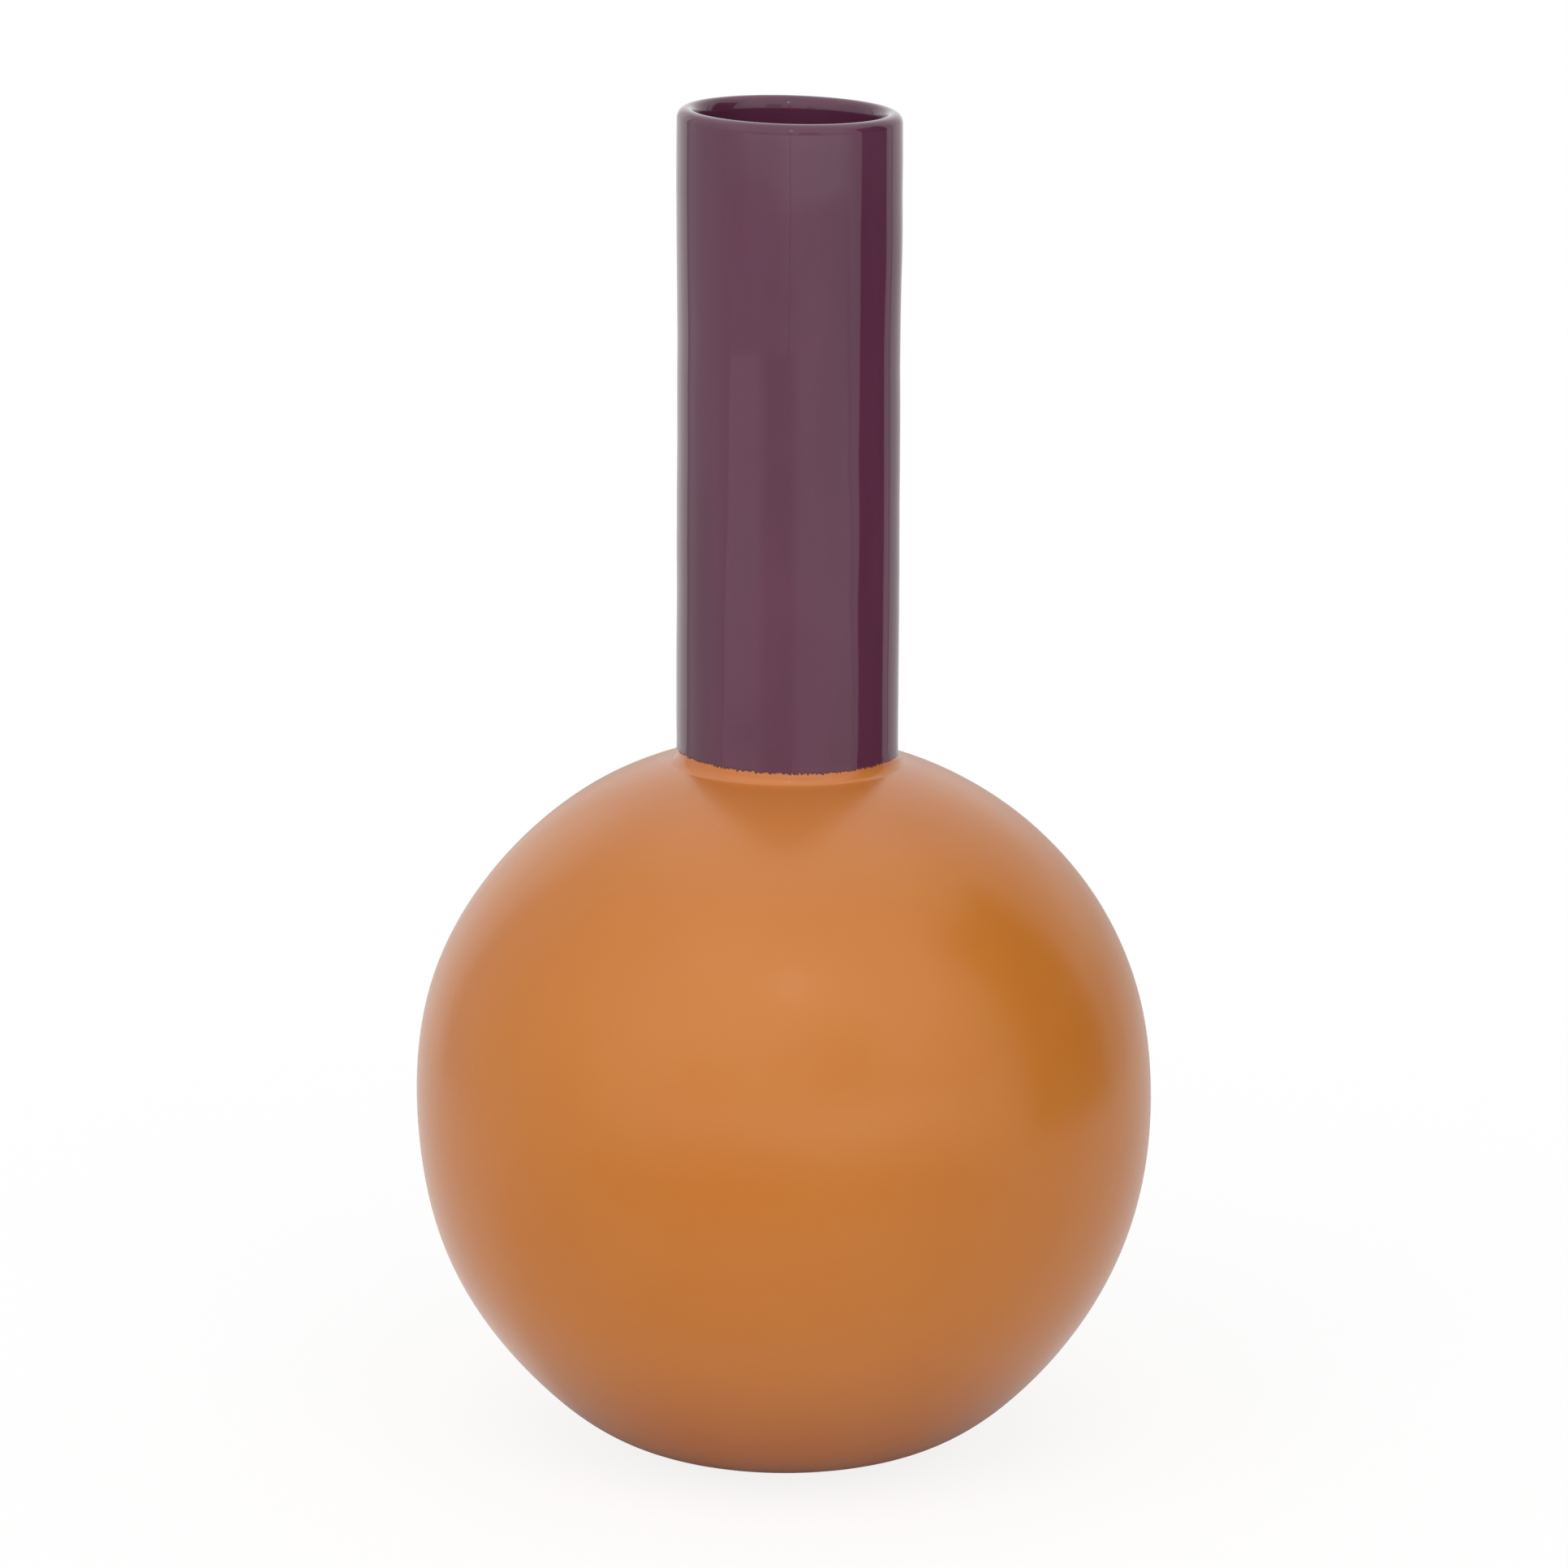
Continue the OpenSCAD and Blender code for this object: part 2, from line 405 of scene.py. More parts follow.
def surface(name, points, poles=False):
    """A closed mesh on a grid of points, rows by columns, whose columns join up round the axis.

    The rows join up too. With poles, the first and last rows are one point each instead, closed by
    fans of triangles. Sections run up their outer side, so faces point outwards.
    """
    rows, columns = points.shape[:2]
    if poles:
        inner = points[1:-1].reshape(-1, 3)
        places = np.concatenate([points[:1, 0], inner, points[-1:, 0]])
        grid = 1 + np.arange(len(inner)).reshape(rows - 2, columns)
        below, above = grid[:-1], grid[1:]
        first, last = grid[0], grid[-1]
        end = np.full(columns, len(places) - 1)
        low_fan = np.stack([np.zeros_like(first), np.roll(first, -1), first], axis=-1)
        high_fan = np.stack([last, np.roll(last, -1), end], axis=-1)
        fans = np.concatenate([low_fan, high_fan])
    else:
        places = points.reshape(-1, 3)
        below = np.arange(rows * columns).reshape(rows, columns)
        above = np.roll(below, -1, axis=0)
        fans = np.zeros((0, 3), int)
    ring = [below, np.roll(below, -1, axis=1), np.roll(above, -1, axis=1), above]
    quads = np.stack(ring, axis=-1).reshape(-1, 4)
    corners = np.concatenate([fans.ravel(), quads.ravel()])
    sizes = np.concatenate([np.full(len(fans), 3), np.full(len(quads), 4)])
    mesh = bpy.data.meshes.new(name)
    mesh.vertices.add(len(places))
    mesh.vertices.foreach_set("co", places.astype(np.float32).ravel())
    mesh.loops.add(len(corners))
    mesh.loops.foreach_set("vertex_index", corners.astype(np.int32))
    mesh.polygons.add(len(sizes))
    mesh.polygons.foreach_set("loop_start", (np.cumsum(sizes) - sizes).astype(np.int32))
    mesh.polygons.foreach_set("use_smooth", np.ones(len(sizes), bool))
    mesh.update(calc_edges=True)
    if mesh.validate():
        raise RuntimeError(f"the surface of {name} has faulty faces")
    mesh.set_sharp_from_angle(angle=SHARP)
    piece = bpy.data.objects.new(name, mesh)
    bpy.context.scene.collection.objects.link(piece)
    return piece


def dress(piece, node, material):
    """Puts a finished piece on the part's one body, in the place of its solid, with its finish."""
    piece.data.materials.append(material)
    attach(piece, "root")
    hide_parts(node)


# Finishes

WHITE = (1.0, 1.0, 1.0, 1.0)
SMOOTH = {"interpolation_type": "SMOOTHSTEP"}

# Heights between which the satin glaze loses its painted shade low on the ball, turns thin towards
# the neck, and turns glossier in the cove, where it ran together
PAINTED_SHADE_FADES = (2 * MM, 45 * MM)
THIN_COMES = (124 * MM, 142 * MM)
GLOSS_COMES = (141.5 * MM, 143.5 * MM)
# Levels of a noise between which a glaze goes from one thickness to the other
CLOUDED = (0.35, 0.65)


def add_node(tree, kind, sockets=(), **settings):
    """Adds a node with its settings. Its sockets are given in order, or by name in a dictionary.

    A socket is given a value, or is linked if it is given an output, or a node, which stands for
    its first output in use.
    """
    made = tree.nodes.new("ShaderNode" + kind)
    for name, value in settings.items():
        setattr(made, name, value)
    for key, value in sockets.items() if isinstance(sockets, dict) else enumerate(sockets):
        if isinstance(value, bpy.types.Node):
            value = next(output for output in value.outputs if output.enabled)
        if isinstance(value, bpy.types.NodeSocket):
            tree.links.new(value, made.inputs[key])
        else:
            made.inputs[key].default_value = value
    return made


def new_tree(holder):
    """The empty node tree of a new material or world."""
    holder.use_nodes = True
    holder.node_tree.nodes.clear()
    return holder.node_tree


def new_finish(name, **constants):
    """A material with one Principled shader, its node tree, the shader and Object coordinates."""
    material = bpy.data.materials.new(name)
    tree = new_tree(material)
    shader = add_node(tree, "BsdfPrincipled", constants)
    add_node(tree, "OutputMaterial", {"Surface": shader})
    return material, tree, shader, add_node(tree, "TexCoord").outputs["Object"]


def rgba(value):
    """A colour of the settings as a node takes it."""
    return (*value[:3], 1.0)


def coloured(tree, shader, body, *layers):
    """Colours the shader: a body colour, and each layer's colour mixed over it by its factor."""
    body = rgba(body)
    for factor, shade in layers:
        body = add_node(tree, "Mix", {0: factor, 6: body, 7: rgba(shade)}, data_type="RGBA")
    tree.links.new(body.outputs[2], shader.inputs["Base Color"])


def specks(tree, place, cell, radius, chance):
    """1 inside small round specks, each at the point of a cell, in this share of the cells.

    A speck's radius is 0.4 to 1 times the one given.
    """
    cells = add_node(tree, "TexVoronoi", {"Vector": place, "Scale": 1 / cell})
    drawn = add_node(tree, "SeparateColor", [cells.outputs["Color"]]).outputs
    least, most = 0.4 * radius / cell, radius / cell
    size = add_node(tree, "MapRange", (drawn["Green"], 0.0, 1.0, least, most))
    near = add_node(tree, "Math", (cells.outputs["Distance"], size), operation="LESS_THAN")
    picked = add_node(tree, "Math", (drawn["Red"], chance), operation="LESS_THAN")
    return add_node(tree, "Math", (near, picked), operation="MULTIPLY")


def satin_orange_glaze(colours):
    """Satin stoneware glaze, dipped: waxy, faintly clouded, with iron specks and painted shade low
    down.
    """
    material, tree, shader, place = new_finish("satin_orange_glaze", IOR=1.5)
    cloud, grain = 26 * MM, 1.1 * MM
    clouds = add_node(tree, "TexNoise", {"Vector": place, "Scale": 1 / cloud, "Detail": 4.0})
    thick = add_node(tree, "MapRange", (clouds, *CLOUDED))
    height = add_node(tree, "SeparateXYZ", [place]).outputs["Z"]
    # Painted shade: the orange turns darker and browner towards the bottom of the ball
    low = add_node(tree, "MapRange", (height, *PAINTED_SHADE_FADES, 1.0, 0.0), **SMOOTH)
    thin = add_node(tree, "MapRange", (height, *THIN_COMES, 0.0, 1.0), **SMOOTH)
    dots = specks(tree, place, cell=9 * MM, radius=0.22 * MM, chance=0.12)
    # The specks lie under the glaze and show faintly
    iron = add_node(tree, "Math", (dots, 0.7), operation="MULTIPLY")
    coloured(
        tree,
        shader,
        colours.orange,
        (thick, colours.orange_light),
        (low, colours.orange_shaded_low),
        (thin, colours.orange_thin),
        (iron, colours.iron),
    )
    rough = add_node(tree, "MapRange", (height, *GLOSS_COMES, 0.25, 0.18), **SMOOTH)
    tree.links.new(rough.outputs["Result"], shader.inputs["Roughness"])
    grains = add_node(tree, "TexNoise", {"Vector": place, "Scale": 1 / grain, "Detail": 3.0})
    bump = add_node(tree, "Bump", {"Height": grains, "Distance": 0.012 * MM, "Strength": 1.0})
    tree.links.new(bump.outputs["Normal"], shader.inputs["Normal"])
    return material


def gloss_aubergine_glaze(colours):
    """Gloss stoneware glaze, dipped: glassy over deep purple brown, faintly clouded down the neck.

    Its clouds are drawn out to four times their width.
    """
    material, tree, shader, place = new_finish("gloss_aubergine_glaze", IOR=1.5, Roughness=0.06)
    cloud = 12 * MM
    drawn = add_node(tree, "Mapping", {"Vector": place, "Scale": (1.0, 1.0, 0.25)})
    clouds = add_node(tree, "TexNoise", {"Vector": drawn, "Scale": 1 / cloud, "Detail": 3.0})
    thick = add_node(tree, "MapRange", (clouds, *CLOUDED))
    coloured(tree, shader, colours.aubergine, (thick, colours.aubergine_deep))
    return material


def bare_stoneware(colours):
    """Fired stoneware, turned and sponged: matt, with grit of about half a millimetre."""
    material, tree, shader, place = new_finish("bare_stoneware", IOR=1.5, Roughness=0.85)
    spacing = 0.9 * MM
    grit = add_node(tree, "TexNoise", {"Vector": place, "Scale": 1 / spacing, "Detail": 4.0})
    dark = add_node(tree, "MapRange", (grit, 0.5, 0.75))
    coloured(tree, shader, colours.clay, (dark, colours.clay_speck))
    bump = add_node(tree, "Bump", {"Height": grit, "Distance": 0.08 * MM, "Strength": 1.0})
    tree.links.new(bump.outputs["Normal"], shader.inputs["Normal"])
    return material


def fired_slip(colours):
    """Fired slip, smoothed with a wet finger: matt and finer than the clay."""
    material, tree, shader, place = new_finish("fired_slip", IOR=1.5, Roughness=0.8)
    cloud = 2 * MM
    clouds = add_node(tree, "TexNoise", {"Vector": place, "Scale": 1 / cloud, "Detail": 3.0})
    coloured(tree, shader, colours.slip, (clouds, colours.clay))
    return material


# Pieces

# Depth and spacing of the turning marks under the foot
MARK_DEPTH, MARK_PITCH = 0.03 * MM, 1.5 * MM

# How much the satin coat's lower edge wanders, and the share of its thickness that its bead is
# drawn back
WANDER = 0.22 * MM
BEAD_BACK = 0.6
# Distance from that edge over which its unevenness comes in, and heights between which it goes
BALL_WAVES_OVER = 3 * MM
BALL_WAVES_GO = (128 * MM, 140 * MM)
# How far it goes on under the neck's coat, and how thin it is there
UNDER_NECK, UNDER_NECK_THIN = 2.2 * MM, 0.12 * MM

# The line between the glazes has slow waves, lobes and small teeth: the fewest and the most waves a
# turn, and their size
LINE_WAVES = ((2, 9, 0.07 * MM), (18, 60, 0.07 * MM), (90, 300, 0.14 * MM))

# The neck coat's lower edge: how far it stands proud, how wide and how tall its quarter round is,
# and how far up the coat it settles, at these shares of that height
PROUD = 0.04 * MM
EDGE_WIDE, EDGE_TALL = 0.10 * MM, 0.07 * MM
SETTLES_OVER = 1.5 * MM
SETTLE_ROWS = (0.12, 0.3, 0.55, 0.8, 1.0)
# Height over the cove's middle from which the neck coat's rows are level
LEVEL_FROM = 5 * MM

# Heights between which the thrower's spiral comes in over the floor, and goes below the neck
SPIRAL_COMES, SPIRAL_GOES = (14 * MM, 24 * MM), (120 * MM, 132 * MM)


def ball_clay_section(shape):
    """Section of the clay ball, from the axis under its floor, round foot and wall, and back.

    The turning marks under the floor are a sine of the radius.
    """
    inset, hollow = shape.coat, shape.coat + shape.wall
    outer, inner = shape.foot_radius, shape.foot_radius - shape.foot_width
    edge, (_, clay_bore, _) = shape.foot_round, neck_radii(shape)
    under = straight((0.0, shape.floor_low), (inner - edge, shape.floor_low), 70)
    under[1:, 1] += MARK_DEPTH * np.sin(2 * math.pi * under[1:, 0] / MARK_PITCH)
    foot_normal = normal_at(shape, inset, False, radius=outer)
    seat_normal = normal_at(shape, inset, True, height=SEAT_HEIGHT)
    bore_normal = normal_at(shape, hollow, True, radius=clay_bore)
    floor_normal = normal_at(shape, hollow, False, height=shape.floor_high)
    return chain(
        under,
        arc((inner - edge, shape.floor_low - edge), edge, math.pi / 2, 0.0, 5),
        arc((inner + edge, edge), edge, math.pi, 1.5 * math.pi, 6),
        arc((outer - edge, edge), edge, -math.pi / 2, 0.0, 6),
        outline(shape, inset, np.linspace(foot_normal, seat_normal, 64)),
        straight((clay_bore, SEAT_HEIGHT), outline(shape, hollow, bore_normal), 3),
        outline(shape, hollow, np.linspace(bore_normal, floor_normal, 48)),
        (0.0, shape.floor_high),
    )


def liner_sections(shape, making, angles):
    """Sections of the liner, from the axis out along the clay, and back over its face.

    The face stands proud in a spiral: its radius is less by the spiral's depth times one plus the
    cosine of the turns that its height makes at the spiral's pitch, plus the angle.
    """
    clay, face = shape.coat + shape.wall, 2 * shape.coat + shape.wall
    _, clay_bore, bore = neck_radii(shape)
    layers = ((clay, clay_bore, shape.floor_high), (face, bore, shape.floor_high + shape.coat))
    runs = []
    for inset, radius, low in layers:
        floor_normal = normal_at(shape, inset, False, height=low)
        bore_normal = normal_at(shape, inset, True, radius=radius)
        side = outline(shape, inset, np.linspace(floor_normal, bore_normal, 90))
        runs.append(chain((0.0, low), side, (radius, BORE_FOOT)))
    sections = spread(chain(runs[0], runs[1][::-1]), angles.size)
    height = sections[..., 1]
    on_face = np.arange(len(sections))[:, None] > len(sections) // 2
    inside = eased(height, *SPIRAL_COMES) * (1 - eased(height, *SPIRAL_GOES))
    wave = np.cos(2 * math.pi * height / making.ring_pitch + angles)
    sections[..., 0] -= on_face * inside * making.ring_depth * (1 + wave)
    return sections


def slip_section(shape):
    """Section of the slip: its bed between the seat and the neck's foot, and its cove outside."""
    tube, clay_bore, _ = neck_radii(shape)
    middle_r, middle_z, normal = cove_middle(shape)
    seat_normal = normal_at(shape, shape.coat, True, height=SEAT_HEIGHT)
    return chain(
        (clay_bore, SEAT_HEIGHT),
        outline(shape, shape.coat, np.linspace(seat_normal, normal, 4)),
        arc((middle_r, middle_z), shape.cove + shape.coat, normal + math.pi, math.pi, 14),
        (tube, BORE_FOOT),
        (clay_bore, BORE_FOOT),
    )


def ball_coat_sections(shape, making, angles):
    """Sections of the satin coat: up its face, the cove and under the neck's coat, and back down.

    Its lower edge lies at the bare radius plus uneven waves, and is a bead: a quarter turn's sine
    takes its depth from the coat's thickness to nothing, and the squared cosine draws it back. Its
    face follows the ball's outline with an uneven skin that fades out at the edge and at the cove.
    """
    rng = np.random.default_rng(3)
    coat, (tube, _, _) = shape.coat, neck_radii(shape)
    middle_r, middle_z, normal = cove_middle(shape)
    wiped = shape.bare_radius + waves(angles, rng, 2, 24, WANDER)
    start = normal_at(shape, 0.0, False, radius=wiped)
    quarter = np.linspace(0.0, math.pi / 2, 5)[:-1, None]
    drawn_back = BEAD_BACK * coat * np.cos(quarter) ** 2
    bead = outline(shape, coat * (1 - np.sin(quarter)), start + drawn_back / shape.ball_radius)
    part = np.linspace(0.0, 1.0, 78)[:, None]
    face = outline(shape, 0.0, start + (normal - start) * part)
    height = face[..., 1]
    fade = eased(np.linalg.norm(face - face[:1], axis=-1), 0.0, BALL_WAVES_OVER)
    fade = fade * (1 - eased(height, *BALL_WAVES_GO))
    skin = uneven(angles[None], height, rng, making.ball_wave, longest=90 * MM, shortest=24 * MM)
    face[..., 0] += fade * skin
    top = middle_z + UNDER_NECK
    cove = arc((middle_r, middle_z), shape.cove, normal + math.pi, math.pi, 16)
    under = straight((shape.neck_radius, middle_z), (tube + UNDER_NECK_THIN, top), 5)
    clay_cove = arc((middle_r, middle_z), shape.cove + coat, math.pi, normal + math.pi, 7)
    fixed = spread(chain(cove, under, (tube, top), clay_cove), angles.size)
    part = np.linspace(1.0, 0.0, 26)[1:-1, None]
    back = outline(shape, coat, start + (normal - start) * part)
    return np.concatenate([bead, face[:-1], fixed, back])


def lip(inner, outer, top, drop, rows):
    """Section of a lip from the outside over its top to the bore.

    It is a quarter circle outside and a quarter ellipse inside, which is taller by the drop: the
    radius is the wall's middle plus half its thickness times the cosine, and the height is the top
    less the quarter's height times one less the sine.
    """
    half = (outer - inner) / 2
    angles = np.linspace(0.0, math.pi, rows)
    tall = np.where(angles < math.pi / 2, half, half + drop)
    radius = (inner + outer) / 2 + half * np.cos(angles)
    return np.stack([radius, top - tall * (1 - np.sin(angles))], axis=-1)


def wall_over(inner, outer, low, top, drop, rows):
    """Section of a face that runs up outside, over a lip and down inside, in these rows."""
    half = (outer - inner) / 2
    return chain(
        straight((outer, low), (outer, top - half), rows[0]),
        lip(inner, outer, top, drop, rows[1]),
        straight((inner, top - half - drop), (inner, low), rows[2]),
    )


def glaze_line(shape, making, angles):
    """Height of the line between the glazes round the neck.

    It is level but for a tilt, which is a sine of the angle, and for its uneven waves.
    """
    rng = np.random.default_rng(11)
    level = cove_middle(shape)[1] + shape.line_up
    line = level - making.line_tilt * np.sin(angles)
    for fewest, most, size in LINE_WAVES:
        line = line + waves(angles, rng, fewest, most, size)
    return line


def neck_coat_sections(shape, making, angles):
    """Sections of the gloss coat: up from its lower edge, over the lip, down the bore, and back.

    The edge is a quarter round on the line between the glazes: the radius grows with the sine and
    the height with one less the cosine. It stands proud, and settles with the height over it.
    """
    line = glaze_line(shape, making, angles)
    outer, (tube, clay_bore, bore) = shape.neck_radius, neck_radii(shape)
    quarter, part = np.linspace(0.0, math.pi / 2, 5), np.array(SETTLE_ROWS)
    edge_radius = outer - EDGE_WIDE + (EDGE_WIDE + PROUD) * np.sin(quarter)
    radius = np.concatenate([edge_radius, outer + PROUD * (1 - part)])
    height = np.concatenate([EDGE_TALL * (1 - np.cos(quarter)), EDGE_TALL + SETTLES_OVER * part])
    edge = spread(np.stack([radius, height], axis=-1), angles.size)
    edge[..., 1] += line
    low = cove_middle(shape)[1] + LEVEL_FROM
    clay_top = RIM_HEIGHT - shape.coat
    face = wall_over(bore, outer, low, RIM_HEIGHT, shape.lip_drop, (36, 21, 12))
    down = straight((bore, low), (bore, BORE_FOOT), 3)
    back = wall_over(clay_bore, tube, low, clay_top, shape.lip_drop, (8, 9, 8))[::-1]
    fixed = chain(face, down, (clay_bore, BORE_FOOT), back)
    return np.concatenate([edge, spread(fixed, angles.size)])


def vase_settings(context):
    """The settings of the shape, of the marks of making and of the colours."""
    return context.scene.vase_shape, context.scene.vase_making, context.scene.vase_colours


class VASE_OT_ball_clay(bpy.types.Operator):
    """Make the thrown stoneware ball with its seat and its turned foot"""

    bl_idname = "vase.ball_clay"
    bl_label = "Ball clay"

    def execute(self, context):
        shape, making, colours = vase_settings(context)
        sections = spread(ball_clay_section(shape), COLUMNS)
        piece = surface("clay_ball", thrown_ball(sections, around(COLUMNS), making), poles=True)
        dress(piece, "ball_body", bare_stoneware(colours))
        return {"FINISHED"}


class VASE_OT_neck_clay(bpy.types.Operator):
    """Make the thrown stoneware tube of the neck"""

    bl_idname = "vase.neck_clay"
    bl_label = "Neck clay"

    def execute(self, context):
        shape, making, colours = vase_settings(context)
        tube, clay_bore, _ = neck_radii(shape)
        top = RIM_HEIGHT - shape.coat
        section = wall_over(clay_bore, tube, BORE_FOOT, top, shape.lip_drop, (40, 11, 40))
        points = thrown_neck(spread(section, COLUMNS), around(COLUMNS), shape, making)
        piece = surface("clay_neck", points)
        dress(piece, "neck_tube", bare_stoneware(colours))
        return {"FINISHED"}


class VASE_OT_slip(bpy.types.Operator):
    """Make the slip that joins the neck to the ball"""

    bl_idname = "vase.slip"
    bl_label = "Slip"

    def execute(self, context):
        shape, making, colours = vase_settings(context)
        sections = spread(slip_section(shape), COLUMNS)
        piece = surface("joint_slip", turned(sections, around(COLUMNS), making))
        dress(piece, "joining_slip", fired_slip(colours))
        return {"FINISHED"}


class VASE_OT_ball_coat(bpy.types.Operator):
    """Make the satin coat outside the ball, up the cove and a little way under the neck's coat"""

    bl_idname = "vase.ball_coat"
    bl_label = "Ball coat"

    def execute(self, context):
        shape, making, colours = vase_settings(context)
        angles = around(BALL_COLUMNS)
        sections = ball_coat_sections(shape, making, angles)
        piece = surface("orange_coat", thrown_ball(sections, angles, making))
        dress(piece, "ball_glaze", satin_orange_glaze(colours))
        return {"FINISHED"}


class VASE_OT_neck_coat(bpy.types.Operator):
    """Make the gloss coat of the neck, over its lip and down its bore, with a ragged lower edge"""

    bl_idname = "vase.neck_coat"
    bl_label = "Neck coat"

    def execute(self, context):
        shape, making, colours = vase_settings(context)
        angles = around(NECK_COLUMNS)
        sections = neck_coat_sections(shape, making, angles)
        piece = surface("aubergine_coat", thrown_neck(sections, angles, shape, making))
        dress(piece, "neck_glaze", gloss_aubergine_glaze(colours))
        return {"FINISHED"}


class VASE_OT_liner(bpy.types.Operator):
    """Make the coat inside the ball, of the neck's glaze, once the neck's coat is made"""

    bl_idname = "vase.liner"
    bl_label = "Liner"

    def execute(self, context):
        shape, making, _ = vase_settings(context)
        angles = around(COLUMNS)
        sections = liner_sections(shape, making, angles)
        piece = surface("inner_coat", thrown_ball(sections, angles, making), poles=True)
        dress(piece, "liner_glaze", bpy.data.materials["gloss_aubergine_glaze"])
        return {"FINISHED"}


# Stage

# The floor lies this much below the foot, and the one that the glaze mirrors as much above it
FLOOR_GAP = 0.05 * MM
# Cosines of the angle from the camera between which the screens go from beside to far in front
AHEAD = (0.3, 0.5)

# The studio as the glaze mirrors it, white but for these. A band has its middle, half its width and
# its soft edge in degrees, its lowest and highest and their soft edge in metres, and its brightness
WALL_BASE = (0.0, 0.55, 1.05, 1.33)
WALL_BANDS = (
    # Black panel to the right, with the dimmer wall round it
    (95.8, 19.2, 0.8, -1, 0.66, 0.12, 0.05),
    (95.8, 19.2, 0.8, 0.17, 0.25, 0.04, 2.5),
    (155, 40, 0.8, -1, 0.19, 0.12, 0.65),
    (112, 45, 40, 0.19, 0.95, 0.3, 0.7),
    (120, 5.5, 1, -1, 0.5, 0.2, 0.85),
    (126.3, 1.2, 1, -1, 0.5, 0.1, 0.45),
    (76, 10, 20, -1, 0.3, 0.2, 0.85),
    # Wall to the left, with the frame of a panel
    (-118, 42, 40, -1, 0.85, 0.5, 0.76),
    (-139, 12.5, 3, -1, 0.5, 0.2, 1.25),
    (-122, 3.2, 1.5, -1, 0.4, 0.2, 0.8),
    (-125, 1.2, 0.8, -1, 0.6, 0.1, 0.45),
    # Far wall in front, dimmer low down, and the table's bright edge before it
    (0, 75, 20, -1, 0.55, 1, 0.74),
    (5, 60, 40, -1, 0.26, 0.1, 1.3),
    (5, 60, 40, 0.07, 0.26, 0.02, 1.42),
    (-32, 24, 20, -1, 0.3, 0.3, 0.85),
    # Camera on its stand, two panels and a lamp over it
    (0.5, 1.6, 0.6, 0.48, 0.72, 0.03, 0.4),
    (0.5, 0.5, 0.4, -1, 0.48, 0.03, 0.6),
    (20.5, 10.5, 1, 0.39, 0.97, 0.03, 0.6),
    (-25.5, 4.5, 1, 0.39, 0.62, 0.03, 0.62),
    (3, 2, 0.6, 1.5, 1.62, 0.03, 11),
)
# Base of the mirrored floor: a painted shadow of the vase, near black out to 15 mm from the axis
# and rising to its plain level at 80 mm
FLOOR_BASE_PAINTED_SHADOW = (0.015, 0.08, 0.02, 0.77)
FLOOR_BANDS = (
    # Floor behind on the left
    (-135, 50, 10, -1, 2, 0.1, 1.2),
    # The table in front is dim at first and brighter further off, with a dim strip on the left
    (5, 25, 20, -1, 0.2, 0.1, 1.15),
    (-5, 65, 30, 0.25, 0.62, 0.15, 0.8),
    (-25, 30, 30, 0.25, 0.6, 0.2, 0.85),
    (0, 78, 20, 0.65, 2, 0.5, 1.37),
    (-10, 17, 14, 0.68, 2, 0.06, 0.75),
)


def shown_rays(tree):
    """1 for the rays that show the background: from the camera, off gloss and through glass."""
    path = add_node(tree, "LightPath").outputs
    seen = path["Is Camera Ray"]
    for kind in ("Is Glossy Ray", "Is Transmission Ray"):
        seen = add_node(tree, "Math", (seen, path[kind]), operation="MAXIMUM")
    return seen


def white_sky(stage):
    """Plain white world: strength 1 where it is seen, and lower where it only lights the vase."""
    world = bpy.data.worlds.new("white_sky")
    tree = new_tree(world)
    level = add_node(tree, "MapRange", (shown_rays(tree), 0.0, 1.0, stage.sky, 1.0))
    sky = add_node(tree, "Background", {"Color": WHITE, "Strength": level})
    add_node(tree, "OutputWorld", {"Surface": sky})
    bpy.context.scene.world = world


def white_paper(stage):
    """White paper: a share of its white glows, and the rest is lit, so that it keeps a shadow."""
    material = bpy.data.materials.new("white_paper")
    tree = new_tree(material)
    lit = stage.floor_lit * (1.0 - stage.floor_glow)
    plain = add_node(tree, "BsdfDiffuse", {"Color": rgba(stage.floor)})
    keeps = add_node(tree, "BsdfDiffuse", {"Color": (lit, lit, lit, 1.0)})
    glow = add_node(tree, "Emission", {"Color": WHITE, "Strength": stage.floor_glow})
    white = add_node(tree, "AddShader", (keeps, glow))
    paper = add_node(tree, "MixShader", (shown_rays(tree), plain, white))
    # From below, the floor lets the underside be seen
    below = add_node(tree, "NewGeometry").outputs["Backfacing"]
    clear = add_node(tree, "BsdfTransparent")
    paper = add_node(tree, "MixShader", (below, paper, clear))
    add_node(tree, "OutputMaterial", {"Surface": paper})
    return material


